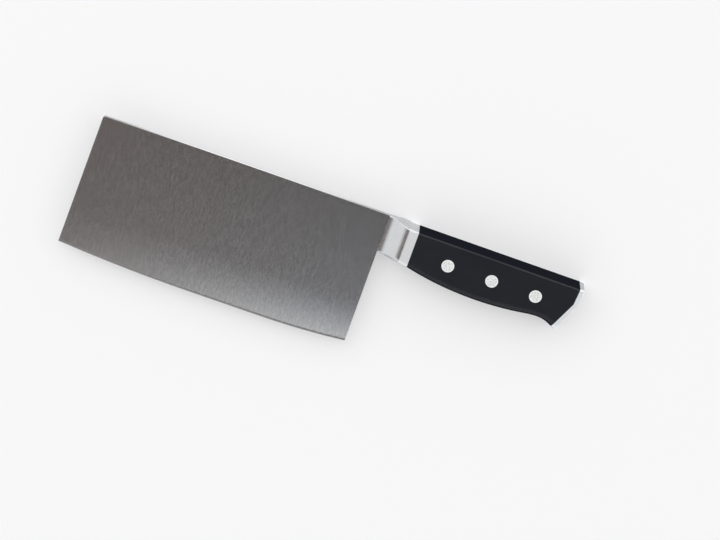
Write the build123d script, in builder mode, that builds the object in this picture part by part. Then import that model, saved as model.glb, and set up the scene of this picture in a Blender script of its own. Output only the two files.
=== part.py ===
from build123d import *
import os
from math import cos, pi

os.makedirs("parts", exist_ok=True)

# A rectangular Chinese cleaver with a riveted black handle, lying on its right side.
# X runs along the knife with the tip at -X, +Y is the spine side and +Z the left side.
# Local places are measured from the corner of heel and spine: x towards the butt, y up
# from the spine, so most are negative, and z out of the blade's middle plane.

# Blade
blade_length = 195.0         # along the spine, from tip to heel
tip_lean = 2.7               # the tip's edge corner stands this much further forward
edge_depth = 93.5            # spine to edge at the deepest part of the belly
tip_rise = 3.7               # the edge rises this much from there to the tip
heel_rise = 3.1              # and this much to the heel
belly_shares = (0.29, 0.55)  # the level stretch of the edge, from the heel, of the length
spine_crown = 0.6            # rise of the spine at mid length
tip_corner_radius = 1.6      # the corner of spine and tip is broken
spine_thickness = 3.0        # at the heel
taper_share = 0.8            # what the distal taper leaves of the thickness at the tip
convex_height = 31.5         # the convex grind above the edge, below the flat one
grind_thickness = 2.3        # where the two meet, at the heel
edge_thickness = 0.74        # behind the cutting bevel
bevel_height = 1.5           # width of the cutting bevel
bevel_depth = 0.3            # what each bevel takes off the edge's half thickness
spine_easing = 0.35          # the long spine edges are rounded for the finger

# Tang, one piece with the blade and hidden between the scales
tang_height = 14.0
tang_axis_drop = 17.0        # the line of the tang and rivets, below the spine

# Grip: bolster, two scales and end cap are ground to one outline
grip_thickness = 21.0
bolster_length = 21.0
scale_length = 110.5         # along the top of the scale
cap_thickness = 3.2
front_top_drop = 2.5         # top of the grip where the scales begin
butt_top_drop = 2.9          # top of the grip at the butt
front_bottom_drop = 27.5     # bottom of the grip where the scales begin
front_fall = 0.25            # slope of the lower outline there
belly_setback = 34.0         # the swell under the palm, behind the bolster
belly_drop = 32.8
rise_inset = 30.7            # the long rise to the waist, before the butt
rise_drop = 31.2
bend_inset = 14.8            # the bend from the waist down to the toe
bend_drop = 30.9
toe_inset = 5.5              # past the end cap the lower outline runs on straight
toe_drop = 35.3
toe_fall = 0.50              # slope of the lower outline from there on
top_edge_radius = 1.0
lower_edge_radius = 4.0
butt_kink_drop = 10.7        # the butt has two facets that meet this far down
butt_kink_setback = 0.7      # how far the upper facet runs forward
butt_toe_setback = 10.6      # how far both facets run forward by the toe
cap_edge_radius = 0.9

# Bolster: a slotted collar that flares from just over the blade to the grip
lip_wall = 0.9               # steel either side of the blade where the flare begins
collar_length = 6.0          # full thickness behind the flare
bolster_front_drop = 26.0    # bottom of the bolster at the heel
lip_top_radius = 0.8
lip_lower_radius = 1.6
bolster_shares = (0.0, 0.1, 0.2, 0.3, 0.4, 0.5, 0.6, 0.7, 0.85, 1.0)

# Rivets: two-part cutler's rivets, a sleeve from the left and a post from the right
rivet_names = ("front", "middle", "rear")
rivet_front_inset = 24.8     # from the front of the scales
rivet_rear_inset = 25.7      # from the top of the butt
rivet_head_diameter = 8.3
rivet_head_thickness = 1.8
sleeve_diameter = 5.0
sleeve_gap = 3.4             # the sleeve stops this far short of the other head
post_diameter = 3.4
post_gap = 0.6               # the post stops this far short of the sleeve's bottom

# Fits
slot_clearance = 0.05        # around the tang, in the bolster and the scales
rivet_clearance = 0.05       # radial, around heads and sleeves
post_clearance = 0.02        # radial, between post and sleeve
head_recess = 0.02           # heads are polished a hair below the scales
overrun = 5.0                # how far every cut runs past what it cuts

# The frame: the middle of the footprint is the origin and the right scale lies on Z = 0
grip_half = grip_thickness / 2
handle_length = bolster_length + scale_length + cap_thickness
heel_x = (blade_length + tip_lean - handle_length) / 2
spine_y = (edge_depth - spine_crown) / 2
tip_height = edge_depth - tip_rise
heel_height = edge_depth - heel_rise
corner = (heel_x, spine_y, grip_half)
side = Plane(origin=corner, x_dir=(1, 0, 0), z_dir=(0, 0, 1))
section = Plane(origin=corner, x_dir=(0, 1, 0), z_dir=(1, 0, 0))
tip_plane = section.offset(-blade_length - tip_lean)
tang_end = bolster_length + scale_length
blank_end = handle_length + overrun
blank_depth = toe_drop + toe_fall * (blank_end - tang_end + toe_inset)
rivet_pitch = (scale_length - rivet_front_inset - rivet_rear_inset) / (len(rivet_names) - 1)
rivet_places = [
    (bolster_length + rivet_front_inset + number * rivet_pitch, -tang_axis_drop)
    for number in range(len(rivet_names))
]


def grind_section(plane, taper):
    """Cross-section of the blade: a flat taper from the spine, then convex to the edge."""
    crown_point = (spine_crown, taper * spine_thickness / 2)
    grind_point = (convex_height - edge_depth, taper * grind_thickness / 2)
    edge_point = (-edge_depth, edge_thickness / 2)
    flat = Vector(grind_point) - Vector(crown_point)
    with BuildSketch(plane) as ground:
        with BuildLine():
            Polyline((-edge_depth, 0), (spine_crown, 0), crown_point, grind_point)
            TangentArc(grind_point, edge_point, tangent=flat)
            Line(edge_point, (-edge_depth, 0))
        make_face()
        mirror(about=Plane.XZ)
    return ground.sketch


def behind_butt(outside):
    """Face of all that lies behind the butt's two facets, moved out by a distance."""
    top_point = Vector(tang_end, -butt_top_drop)
    kink_point = top_point + Vector(-butt_kink_setback, -butt_kink_drop)
    toe_point = Vector(tang_end - butt_toe_setback, -toe_drop)
    upper = (kink_point - top_point).normalized()
    lower = (toe_point - kink_point).normalized()
    upper_out = Vector(-upper.Y, upper.X)
    lower_out = Vector(-lower.Y, lower.X)
    kink_out = (upper_out + lower_out) / (1 + upper_out.dot(lower_out))
    start = top_point + upper_out * outside - upper * overrun
    kink = kink_point + kink_out * outside
    end = toe_point + lower_out * outside + lower * blank_depth
    with BuildSketch(side) as behind:
        with BuildLine():
            Polyline(start, kink, end, (blank_end, end.Y), (blank_end, start.Y), close=True)
        make_face()
    return behind.sketch


# Blade: tapered plate with a convex edge, and the tang in the same steel
with BuildPart() as blade:
    tip = (-blade_length, 0)
    tip_edge = (-blade_length - tip_lean, -tip_height)
    heel_edge = (0, -heel_height)
    belly_back, belly_front = [(-blade_length * share, -edge_depth) for share in belly_shares]
    with BuildSketch(side):
        with BuildLine():
            ThreePointArc(tip, (-blade_length / 2, spine_crown), (0, 0))
            Line((0, 0), heel_edge)
            TangentArc(belly_back, heel_edge, tangent=(1, 0))
            Line(belly_back, belly_front)
            TangentArc(belly_front, tip_edge, tangent=(-1, 0))
            Line(tip_edge, tip)
        make_face()
        fillet(vertices().sort_by_distance(tip)[0], tip_corner_radius)
    extrude(amount=spine_thickness / 2, both=True)
    loft(
        [grind_section(section, 1), grind_section(tip_plane, taper_share)],
        ruled=True,
        mode=Mode.INTERSECT,
    )

    # The cutting bevels run along the belly on both sides
    for end in (0, -1):
        ground_face = blade.faces().filter_by(lambda face: face.center().Y < 0)
        ground_face = ground_face.sort_by(Axis.Z)[end]
        belly_edges = ground_face.edges().filter_by(
            lambda edge: edge.center().Y < spine_y - tip_height and edge.length > bevel_height
        )
        chamfer(belly_edges, bevel_height, bevel_depth, reference=ground_face)
    spine_face = blade.faces().sort_by(Axis.Y)[-1]
    fillet(spine_face.edges().sort_by(SortBy.LENGTH)[-2:], spine_easing)

    with BuildSketch(side):
        with Locations((tang_end / 2, -tang_axis_drop)):
            Rectangle(tang_end, tang_height)
    extrude(amount=spine_thickness / 2, both=True)
    extrude(behind_butt(0), amount=grip_half, both=True, mode=Mode.SUBTRACT)
    with BuildSketch(side):
        with Locations(*rivet_places):
            Circle(sleeve_diameter / 2 + rivet_clearance)
    extrude(amount=grip_half, both=True, mode=Mode.SUBTRACT)
blade.part.label = "blade"
export_step(blade.part, "parts/blade.step")

# Grip blank: the outline to which the scales and the end cap are ground together
with BuildPart() as grip_blank:
    front_top = (bolster_length, -front_top_drop)
    front_bottom = (bolster_length, -front_bottom_drop)
    belly = (bolster_length + belly_setback, -belly_drop)
    rise = (tang_end - rise_inset, -rise_drop)
    bend = (tang_end - bend_inset, -bend_drop)
    toe = (tang_end - toe_inset, -toe_drop)
    top_slope = (front_top_drop - butt_top_drop) / scale_length
    back_top = (blank_end, -front_top_drop + top_slope * (blank_end - bolster_length))
    with BuildSketch(side.offset(-grip_half)):
        with BuildLine():
            Polyline(front_bottom, front_top, back_top, (blank_end, -blank_depth), toe)
            Spline(
                (front_bottom, belly, rise, bend, toe),
                tangents=[(1, -front_fall), (1, -toe_fall)],
            )
        make_face()
    extrude(amount=grip_thickness)
    top_face = grip_blank.faces().sort_by(Axis.Y)[-1]
    fillet(top_face.edges().sort_by(SortBy.LENGTH)[-2:], top_edge_radius)
    lower_face = grip_blank.faces().filter_by(GeomType.EXTRUSION)[0]
    fillet(lower_face.edges().sort_by(SortBy.LENGTH)[-2:], lower_edge_radius)

# Scales: a mirrored pair with a pocket for the tang and a seat for each rivet
with BuildPart() as scale_left:
    add(grip_blank.part)
    split(bisect_by=side, keep=Keep.TOP)
    extrude(behind_butt(0), amount=grip_half, both=True, mode=Mode.SUBTRACT)
    with BuildSketch(side):
        with Locations((tang_end / 2, -tang_axis_drop)):
            Rectangle(tang_end + overrun, tang_height + 2 * slot_clearance)
    extrude(amount=spine_thickness / 2 + slot_clearance, mode=Mode.SUBTRACT)
    with Locations(side.offset(grip_half)):
        with Locations(*rivet_places):
            CounterBoreHole(
                sleeve_diameter / 2 + rivet_clearance,
                rivet_head_diameter / 2 + rivet_clearance,
                rivet_head_thickness + head_recess,
            )
scale_left.part.label = "scale_left"
export_step(scale_left.part, "parts/scale_left.step")

with BuildPart() as scale_right:
    mirror(scale_left.part, about=side)
scale_right.part.label = "scale_right"
export_step(scale_right.part, "parts/scale_right.step")

# End cap: polished plate over the scales' ends, welded to the end of the tang
with BuildPart() as end_cap:
    add(grip_blank.part)
    extrude(behind_butt(0), amount=grip_half, both=True, mode=Mode.INTERSECT)
    extrude(behind_butt(cap_thickness), amount=grip_half, both=True, mode=Mode.SUBTRACT)
    back_faces = end_cap.faces().filter_by(
        lambda face: face.normal_at().X > abs(face.normal_at().Y)
    )
    fillet(back_faces.edges(), cap_edge_radius)
end_cap.part.label = "end_cap"
export_step(end_cap.part, "parts/end_cap.step")


def bolster_section(share):
    """Rounded cross-section of the bolster at a share of its length from the heel."""
    flare = min(share * bolster_length / (bolster_length - collar_length), 1)
    opening = (1 - cos(pi * flare)) / 2
    lip_half = spine_thickness / 2 + lip_wall
    half = lip_half + (grip_half - lip_half) * opening
    top = -front_top_drop * (1 - cos(pi * share)) / 2
    bottom = -bolster_front_drop - (front_bottom_drop - bolster_front_drop) * share ** 2
    upper_radius = lip_top_radius + (top_edge_radius - lip_top_radius) * opening
    lower_radius = lip_lower_radius + (lower_edge_radius - lip_lower_radius) * opening
    with BuildSketch(section.offset(share * bolster_length)) as ring:
        with Locations(((top + bottom) / 2, 0)):
            Rectangle(top - bottom, 2 * half)
        fillet(vertices().group_by(Axis.X)[-1], upper_radius)
        fillet(vertices().group_by(Axis.X)[0], lower_radius)
    return ring.sketch


# Bolster: lofted collar, slid over the tang to the heel and brazed
with BuildPart() as bolster:
    loft([bolster_section(share) for share in bolster_shares])
    with BuildSketch(side.offset(-grip_half)):
        with Locations((bolster_length / 2, -bolster_front_drop / 2)):
            Rectangle(bolster_length, 2 * bolster_front_drop)
    extrude(amount=grip_thickness, mode=Mode.INTERSECT)
    with BuildSketch(section.offset(-overrun)):
        with Locations((-tang_axis_drop, 0)):
            Rectangle(tang_height + 2 * slot_clearance, spine_thickness + 2 * slot_clearance)
    extrude(amount=bolster_length + 2 * overrun, mode=Mode.SUBTRACT)
bolster.part.label = "bolster"
export_step(bolster.part, "parts/bolster.step")

# Rivets: the sleeve from the left and the post from the right, heads flush with the scales
head_level = grip_half - head_recess
seat_level = head_level - rivet_head_thickness
grip_inside = 2 * seat_level
for name, place in zip(rivet_names, rivet_places):
    with BuildPart() as sleeve:
        with BuildSketch(side.offset(seat_level)):
            with Locations(place):
                Circle(rivet_head_diameter / 2)
        extrude(amount=rivet_head_thickness)
        with BuildSketch(side.offset(seat_level)):
            with Locations(place):
                Circle(sleeve_diameter / 2)
                Circle(post_diameter / 2 + post_clearance, mode=Mode.SUBTRACT)
        extrude(amount=sleeve_gap - grip_inside)
    sleeve.part.label = f"rivet_{name}_sleeve"
    export_step(sleeve.part, f"parts/rivet_{name}_sleeve.step")

    with BuildPart() as post:
        with BuildSketch(side.offset(-head_level)):
            with Locations(place):
                Circle(rivet_head_diameter / 2)
        extrude(amount=rivet_head_thickness)
        with BuildSketch(side.offset(-seat_level)):
            with Locations(place):
                Circle(post_diameter / 2)
        extrude(amount=grip_inside - post_gap)
    post.part.label = f"rivet_{name}_post"
    export_step(post.part, f"parts/rivet_{name}_post.step")
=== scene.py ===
from math import cos, radians, sin

import bpy
import numpy as np
from mathutils import Euler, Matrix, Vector


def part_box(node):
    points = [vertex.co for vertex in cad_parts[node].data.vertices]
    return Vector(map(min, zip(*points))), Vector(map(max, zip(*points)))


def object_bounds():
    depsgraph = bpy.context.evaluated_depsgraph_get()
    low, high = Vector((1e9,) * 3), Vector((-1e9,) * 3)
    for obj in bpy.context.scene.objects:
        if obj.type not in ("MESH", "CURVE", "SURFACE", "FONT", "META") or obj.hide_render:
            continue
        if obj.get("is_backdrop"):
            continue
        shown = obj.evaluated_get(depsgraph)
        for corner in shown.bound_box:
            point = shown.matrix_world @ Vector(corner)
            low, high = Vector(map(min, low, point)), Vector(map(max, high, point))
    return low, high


# A rectangular Chinese cleaver lying on its right side: X runs along the knife with the tip
# at -X, +Y is the spine side and +Z the left side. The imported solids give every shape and
# place here, and this file adds the finishes, the light, the floor and the camera.
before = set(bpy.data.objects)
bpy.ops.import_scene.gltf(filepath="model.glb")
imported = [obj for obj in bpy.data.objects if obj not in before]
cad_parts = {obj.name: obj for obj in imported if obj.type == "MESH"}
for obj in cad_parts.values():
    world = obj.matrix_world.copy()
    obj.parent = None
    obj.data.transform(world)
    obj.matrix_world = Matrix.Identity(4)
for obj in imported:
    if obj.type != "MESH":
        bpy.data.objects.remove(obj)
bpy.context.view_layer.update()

# Camera: a long lens almost straight above, leaning towards the spine side, with the knife
# turned in the picture so that its spine falls from the upper left to the right. It is set
# out from the corner where the spine meets the heel, halfway through the blade.
blade_low, blade_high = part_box("blade")
bolster_low, bolster_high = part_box("bolster")
heel_corner = Vector((bolster_low.x, bolster_high.y, (blade_low.z + blade_high.z) / 2))
eye_distance = 1.8
lean, swing, turn = radians(16), radians(-2.6457), radians(19.1266)
picture_width, picture_height = 720, 540
focal_pixels = 2788
corner_pixel = Vector((390.12, 214.71))
right_of_middle = (corner_pixel.x - picture_width / 2) * eye_distance / focal_pixels
above_middle = (picture_height / 2 - corner_pixel.y) * eye_distance / focal_pixels

lens = bpy.data.cameras.new("camera")
lens.sensor_width = 36
lens.lens = focal_pixels * lens.sensor_width / picture_width
lens.clip_start, lens.clip_end = 0.1, 30
camera = bpy.data.objects.new("camera", lens)
camera.rotation_euler = Euler((-lean, swing, turn), "ZYX").to_matrix().to_euler()
corner_from_eye = Vector((right_of_middle, above_middle, -eye_distance))
camera.location = heel_corner - camera.rotation_euler.to_matrix() @ corner_from_eye
bpy.context.collection.objects.link(camera)
bpy.context.scene.camera = camera


# Blade: one ground plate of stainless steel, flat below the spine and convex down to the
# edge, where the cutting bevels are honed. It is brushed from the spine to the edge, so its
# fine irregular lines run across the knife.
class Wire:
    """A socket in a material's nodes. Sums and products of wires add Math nodes."""

    def __init__(self, tree, socket):
        self.tree = tree
        self.socket = socket

    def node(self, kind, settings, sockets, output=0):
        """A new node, its settings set first, then the values or links of its sockets."""
        made = self.tree.nodes.new("ShaderNode" + kind)
        for name, value in settings.items():
            setattr(made, name, value)
        for name, value in sockets.items():
            if isinstance(value, Wire):
                self.tree.links.new(value.socket, made.inputs[name])
            else:
                made.inputs[name].default_value = value
        return Wire(self.tree, made.outputs[output])

    def math(self, operation, *values):
        return self.node("Math", {"operation": operation}, dict(enumerate(values)))

    def __add__(self, other):
        return self.math("ADD", self, other)

    def __sub__(self, other):
        return self.math("SUBTRACT", self, other)

    def __rsub__(self, other):
        return self.math("SUBTRACT", other, self)

    def __mul__(self, other):
        return self.math("MULTIPLY", self, other)

    def __truediv__(self, other):
        return self.math("DIVIDE", self, other)

    __radd__ = __add__
    __rmul__ = __mul__

    def axis(self, number):
        """One coordinate of these, in metres: 0 is X, 1 is Y and 2 is Z."""
        return self.node("SeparateXYZ", {}, {0: self}, number)

    def away(self, x, y):
        """How far these lie from the upright line through x and y."""
        flat = self.node("VectorMath", {"operation": "MULTIPLY"}, {0: self, 1: (1, 1, 0)})
        return flat.node("VectorMath", {"operation": "DISTANCE"}, {0: flat, 1: (x, y, 0)}, 1)

    def stretched(self, x, y, z):
        """These coordinates counted in cells of x by y by z metres."""
        cells = (1 / x, 1 / y, 1 / z)
        return self.node("VectorMath", {"operation": "MULTIPLY"}, {0: self, 1: cells})

    def noise(self, detail=2, roughness=0.5):
        """Smooth noise from 0 to 1, one bump to a cell of these coordinates."""
        sockets = {"Vector": self, "Scale": 1, "Detail": detail, "Roughness": roughness}
        return self.node("TexNoise", {}, sockets)

    def between(self, low, high):
        """A smooth step from 0 at low to 1 at high, which may be the smaller of the two."""
        sockets = {"Value": self, "From Min": low, "From Max": high}
        return self.node("MapRange", {"interpolation_type": "SMOOTHSTEP"}, sockets)

    def blend(self, first, second):
        """The first colour where this is 0 and the second where it is 1."""
        return self.node("Mix", {"data_type": "RGBA"}, {0: self, 6: first, 7: second}, 2)

    def bump(self, depth, **normal):
        """The surface raised by up to a depth in metres where this goes from 0 to 1."""
        return self.node("Bump", {}, {"Height": self, "Distance": depth, **normal})


def colour(red, green, blue):
    return (red, green, blue, 1)


def finish(name, metallic, **constants):
    """A new material: its Principled shader, with constants set, and its place in metres."""
    material = bpy.data.materials.new(name)
    material.use_nodes = True
    tree = material.node_tree
    shader = tree.nodes["Principled BSDF"]
    shader.inputs["Metallic"].default_value = metallic
    for socket, value in constants.items():
        shader.inputs[socket.replace("_", " ")].default_value = value
    place = Wire(tree, tree.nodes.new("ShaderNodeTexCoord").outputs["Object"])
    return material, shader, place


def feed(shader, socket, wire):
    wire.tree.links.new(wire.socket, shader.inputs[socket])


def cover(node, material):
    """The CAD node takes this finish all over."""
    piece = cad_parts[node]
    piece.data.materials.clear()
    piece.data.materials.append(material)
    return piece


def ground_sides(place):
    """How the blade's two sides face, smoother than its triangles do.

    The half thickness falls by an even slope below the spine, to which the convex grind adds
    one that grows evenly down to the edge. Both slopes are smaller at the tip. Their sum is
    how far the side's normal leans towards the edge. Bevels and borders keep their own.
    """
    ground_length, flat_height, grind_height = 0.1977, 0.062, 0.0315
    flat_slope, flat_slope_lost_at_tip = 0.0056, 0.0011
    added_slope, added_slope_lost_at_tip = 0.0383, 0.0124
    taper_slope = 0.0012
    bevel_facing, side_facing = 0.985, 0.995
    x, y, z = [place.axis(number) for number in range(3)]
    tipward = (heel_corner.x - x) / ground_length
    grind_top = heel_corner.y - flat_height
    clamped = {"operation": "DIVIDE", "use_clamp": True}
    edgeward = place.node("Math", clamped, {0: grind_top - y, 1: grind_height})
    flat = flat_slope - tipward * flat_slope_lost_at_tip
    added = added_slope - tipward * added_slope_lost_at_tip
    slope = flat + edgeward * added
    side = place.math("SIGN", z - heel_corner.z)
    taper = (edgeward - 1) * taper_slope
    ground = place.node("CombineXYZ", {}, {0: taper, 1: 0 - slope, 2: side})
    own = place.node("TexCoord", {}, {}, "Normal")
    wide = place.math("ABSOLUTE", own.axis(2)).between(bevel_facing, side_facing)
    facing = wide.node("Mix", {"data_type": "VECTOR"}, {0: wide, 4: own, 5: ground}, 1)
    unit = facing.node("VectorMath", {"operation": "NORMALIZE"}, {0: facing})
    turned = {"vector_type": "NORMAL", "convert_from": "OBJECT", "convert_to": "WORLD"}
    return unit.node("VectorTransform", turned, {0: unit})


# Noise seldom leaves this middle span, so a step across it uses both of its ends in full.
middle_of_noise = 0.36, 0.64


def brushed_blade():
    """Satin steel: streaks across the knife in tone, gloss and relief, and a painted highlight
    along the spine.
    """
    dark, light = colour(0.40, 0.40, 0.40), colour(0.48, 0.48, 0.48)
    # The bright colour is a painted highlight along the top of the spine.
    bright = colour(0.85, 0.85, 0.85)
    spine_highlight_from, spine_highlight_to = blade_high.y - 0.0005, blade_high.y - 0.0002
    scratch_depth = 0.000004
    material, shader, place = finish("brushed_blade", 1.0)
    long = place.stretched(0.0012, 0.009, 0.010).noise(2, 0.6)
    short = place.stretched(0.0008, 0.0026, 0.010).noise(2, 0.6)
    scratch = place.stretched(0.00030, 0.009, 0.010).noise(2, 0.6)
    streak = (long * 0.3 + short * 0.7).between(*middle_of_noise)
    # A narrow band along the top of the spine takes the bright colour: a painted highlight.
    spine = place.axis(1).between(spine_highlight_from, spine_highlight_to)
    feed(shader, "Base Color", spine.blend(streak.blend(dark, light), bright))
    feed(shader, "Roughness", streak * 0.02 + scratch * 0.06 + 0.18)
    feed(shader, "Normal", scratch.bump(scratch_depth, Normal=ground_sides(place)))
    return material


cover("blade", brushed_blade())


# Bolster: a slotted steel collar, flared from the blade to the full grip, slid over the tang
# and brazed to the heel. It is polished before assembly, and the flat sides of the collar
# behind the flare are sanded flush together with the scales, their pale colour partly that
# finish and partly a painted sheen.
grip_low, grip_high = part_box("scale_right")[0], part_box("scale_left")[1]


def flat_sides(place, low_share=0.78, high_share=0.88):
    """1 on the grip's two flat sides and 0 on the faces between them.

    The step lies between two shares of the half thickness, so that it takes in more or less
    of the rounded edge.
    """
    half = (grip_high.z - grip_low.z) / 2
    outward = place.math("ABSOLUTE", place.axis(2) - (grip_low.z + half))
    return outward.between(low_share * half, high_share * half)


def flared_steel():
    """Polished steel with faint haze and hairlines, and the collar's sides pale from sanding
    and from a painted sheen.
    """
    polished_dark, polished_light = colour(0.52, 0.53, 0.54), colour(0.60, 0.61, 0.62)
    sanded_and_sheen_dark, sanded_and_sheen_light = colour(0.80, 0.82, 0.83), colour(0.90, 0.92, 0.93)
    collar_from, collar_to = bolster_high.x - 0.0066, bolster_high.x - 0.0058
    hairline_depth = 0.0000006
    material, shader, place = finish("flared_steel", 1.0)
    haze = place.stretched(0.006, 0.006, 0.006).noise(3, 0.6)
    hairline = place.stretched(0.0002, 0.004, 0.0002).noise(2, 0.7)
    line = place.stretched(0.0030, 0.0003, 0.0003).noise(2, 0.6)
    # The collar's flat sides are painted pale: partly the sanded finish, partly a painted
    # sheen.
    collar = place.axis(0).between(collar_from, collar_to) * flat_sides(place)
    polished = haze.blend(polished_dark, polished_light)
    sanded_and_sheen = line.blend(sanded_and_sheen_dark, sanded_and_sheen_light)
    feed(shader, "Base Color", collar.blend(polished, sanded_and_sheen))
    gloss = haze * 0.06 + hairline * 0.05 + 0.22
    matt = line * 0.10 + 0.55
    feed(shader, "Roughness", collar * (matt - gloss) + gloss)
    feed(shader, "Normal", hairline.bump(hairline_depth))
    return material


cover("bolster", flared_steel())


# Handle scales: a pair moulded in black plastic and ground to the grip's outline with the
# steel. That leaves a fine matt surface, which use rubs a little shiny on the flat sides.
def matt_black():
    """Black plastic with a sand-like grain, rubbed a little shiny on its two flat sides."""
    dark, light = colour(0.008, 0.009, 0.012), colour(0.013, 0.015, 0.021)
    shine_from_share, shine_to_share = 0.90, 0.98
    grain_depth = 0.000012
    material, shader, place = finish(
        "matt_black", 0.0, Specular_IOR_Level=0.0, Coat_Roughness=0.28)
    grain = place.stretched(0.00025, 0.00025, 0.00025).noise(2, 0.6)
    drift = place.stretched(0.018, 0.012, 0.012).noise(2, 0.5)
    feed(shader, "Base Color", grain.blend(dark, light))
    feed(shader, "Roughness", drift * 0.10 + grain * 0.08 + 0.54)
    feed(shader, "Normal", grain.bump(grain_depth))
    rubbed = flat_sides(place, shine_from_share, shine_to_share)
    feed(shader, "Coat Weight", rubbed * (drift * 0.4 + 0.50))
    return material


black = matt_black()
for side in ("left", "right"):
    cover(f"scale_{side}", black)


# Rivets: three cutler's rivets in two halves each, pressed together through the scales and
# the tang. Their heads are sanded flush with the scales, so they show a fine round grain.
def sanded_head_and_highlight(name, centre, radius):
    """Pale speckled steel with a fine grain, and a painted highlight round the edge of the
    head.
    """
    dark, light = colour(0.76, 0.80, 0.78), colour(0.97, 1.00, 0.99)
    # The bright colour is a painted highlight in a ring near the head's edge.
    bright = colour(1.00, 1.00, 0.99)
    rim_highlight_from, rim_highlight_to = 0.80 * radius, 0.88 * radius
    grain_depth = 0.000006
    material, shader, place = finish(name, 1.0)
    speck = place.stretched(0.0008, 0.0008, 0.0008).noise(2, 0.6).between(*middle_of_noise)
    grain = place.stretched(0.0003, 0.0003, 0.0003).noise(3, 0.7)
    rim_highlight = place.away(centre.x, centre.y).between(rim_highlight_from, rim_highlight_to)
    feed(shader, "Base Color", rim_highlight.blend(speck.blend(dark, light), bright))
    feed(shader, "Roughness", grain * 0.2 + 0.60)
    feed(shader, "Normal", grain.bump(grain_depth))
    return material


for rivet in ("front", "middle", "rear"):
    low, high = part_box(f"rivet_{rivet}_sleeve")
    radius = (high.x - low.x) / 2
    head = sanded_head_and_highlight(f"sanded_rivet_and_highlight_{rivet}", (low + high) / 2, radius)
    cover(f"rivet_{rivet}_sleeve", head)
    cover(f"rivet_{rivet}_post", head)


# End cap: a steel plate welded to the end of the tang and ground to the grip's outline with
# the scales. Its flat sides are left as sanded, and are painted pale and bluish, partly that
# finish and partly a painted sheen. Its top and its back are polished, and the back's edges
# are rounded; these polished faces are painted darker as shade.
def sanded_cap_with_painted_light():
    """Steel with the belt's fine lines on its sides, pale there from sanding and a painted
    sheen, and polished between them, painted darker there as shade.
    """
    polished_dark, polished_light = colour(0.44, 0.44, 0.45), colour(0.52, 0.52, 0.53)
    sanded_and_sheen_dark, sanded_and_sheen_light = colour(0.82, 0.86, 0.88), colour(0.92, 0.95, 0.96)
    line_depth = 0.000002
    material, shader, place = finish("sanded_cap_with_painted_light", 1.0)
    line = place.stretched(0.0030, 0.0003, 0.0003).noise(2, 0.6)
    haze = place.stretched(0.004, 0.004, 0.004).noise(2, 0.5)
    # Sides painted pale and bluish as a sheen over the sanded finish; the polished faces
    # between them painted darker as shade.
    sides = flat_sides(place)
    polished = haze.blend(polished_dark, polished_light)
    sanded_and_sheen = line.blend(sanded_and_sheen_dark, sanded_and_sheen_light)
    feed(shader, "Base Color", sides.blend(polished, sanded_and_sheen))
    gloss = haze * 0.06 + 0.20
    matt = line * 0.10 + haze * 0.08 + 0.54
    feed(shader, "Roughness", sides * (matt - gloss) + gloss)
    feed(shader, "Normal", line.bump(line_depth))
    return material


cover("end_cap", sanded_cap_with_painted_light())


# Floor: a wide pale sheet of card that the knife lies on, with nothing behind it but the
# pale walls of the room.
floor_size = 12.0
floor_mesh = bpy.data.meshes.new("floor")
# X and Y each go from minus to plus half the size, and the height is 0 all over.
span = np.array((-floor_size / 2, floor_size / 2))
across, along = np.meshgrid(span, span)
corners = np.stack((across, along, np.zeros_like(across)), axis=-1).reshape(-1, 3)
floor_mesh.from_pydata(corners.tolist(), [], [(0, 1, 3, 2)])
floor = bpy.data.objects.new("floor", floor_mesh)
bpy.context.collection.objects.link(floor)


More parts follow.
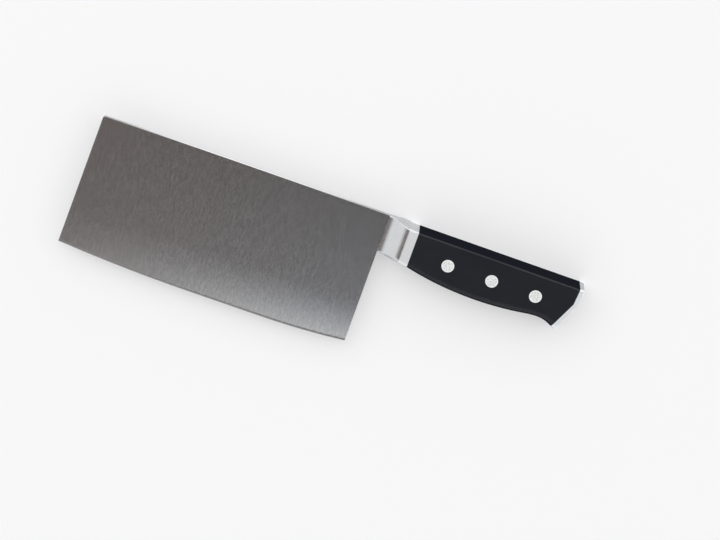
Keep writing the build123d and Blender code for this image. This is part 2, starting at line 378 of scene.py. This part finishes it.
def pale_sheet():
    """Pale matt card, about a third of it lit from within where it is seen or mirrored."""
    dark, light = colour(0.920, 0.920, 0.932), colour(0.935, 0.935, 0.942)
    lit_white, lit_share = colour(0.982, 0.985, 0.992), 0.35
    material, shader, place = finish("pale_sheet", 0.0, Roughness=0.9)
    mottle = place.stretched(0.4, 0.4, 0.4).noise(2, 0.5)
    feed(shader, "Base Color", mottle.blend(dark, light))
    glow = place.node("Emission", {}, {"Color": lit_white, "Strength": 1})
    rays = ("Is Camera Ray", "Is Glossy Ray", "Is Transmission Ray")
    path = [place.node("LightPath", {}, {}, ray) for ray in rays]
    matt = Wire(place.tree, shader.outputs[0])
    lit = place.node("MixShader", {}, {0: sum(path) * lit_share, 1: matt, 2: glow})
    place.tree.links.new(lit.socket, place.tree.nodes["Material Output"].inputs["Surface"])
    return material


floor_mesh.materials.append(pale_sheet())
floor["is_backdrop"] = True


# Light: a very large soft lamp high up on the tip's and the spine's side, aimed at the knife
# and turned from +X by its azimuth, in a room with bright walls.
key_azimuth, key_height = radians(120), radians(50)
key_distance = 7.0
key = bpy.data.lights.new("key", "AREA")
key.shape = "SQUARE"
key.size = 9.0
key.energy = 150
key.color = (1, 0.997, 0.994)
out = Vector((cos(key_azimuth) * cos(key_height), sin(key_azimuth) * cos(key_height),
              sin(key_height)))
held = bpy.data.objects.new("key", key)
held.location = out * key_distance
held.rotation_euler = out.to_track_quat("Z", "Y").to_euler()
held.visible_camera = False
bpy.context.collection.objects.link(held)


def room():
    """World light by direction: bright walls, and a ceiling that is bright on the spine's
    side and dim on the edge's, where the tip's end of it is warm. The dim part holds one
    window, which the convex grind of the blade mirrors beside the edge.
    """
    warm, dark = colour(0.235, 0.192, 0.175), colour(0.001, 0.001, 0.001)
    bright, white = colour(1.20, 1.20, 1.20), colour(1.16, 1.16, 1.17)
    upper_sky, lower_sky = colour(1.156, 1.329, 1.684), colour(2.918, 2.890, 2.678)
    window_x, window_y, window_flatness = 0.094, -0.514, 0.835
    window_outside, window_inside = 0.135, 0.092
    world = bpy.data.worlds.new("room")
    world.use_nodes = True
    tree = world.node_tree
    sky = Wire(tree, tree.nodes.new("ShaderNodeTexCoord").outputs["Generated"])
    across, along, height = [sky.axis(number) for number in range(3)]
    dim = across.between(-0.057, 0.057).blend(warm, dark)
    ceiling = along.between(0.05, 0.25).blend(dim, bright)
    walls = height.between(0.50, 0.84).blend(white, ceiling)
    from_window = sky.stretched(1, window_flatness, 1).away(window_x, window_y)
    glass = from_window.between(window_outside, window_inside)
    daylight = (0 - along).between(0.356, 0.436).blend(upper_sky, lower_sky)
    feed(tree.nodes["Background"], "Color", glass.blend(walls, daylight))
    return world


bpy.context.scene.world = room()
bpy.context.scene.view_settings.view_transform = "Standard"

low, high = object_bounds()
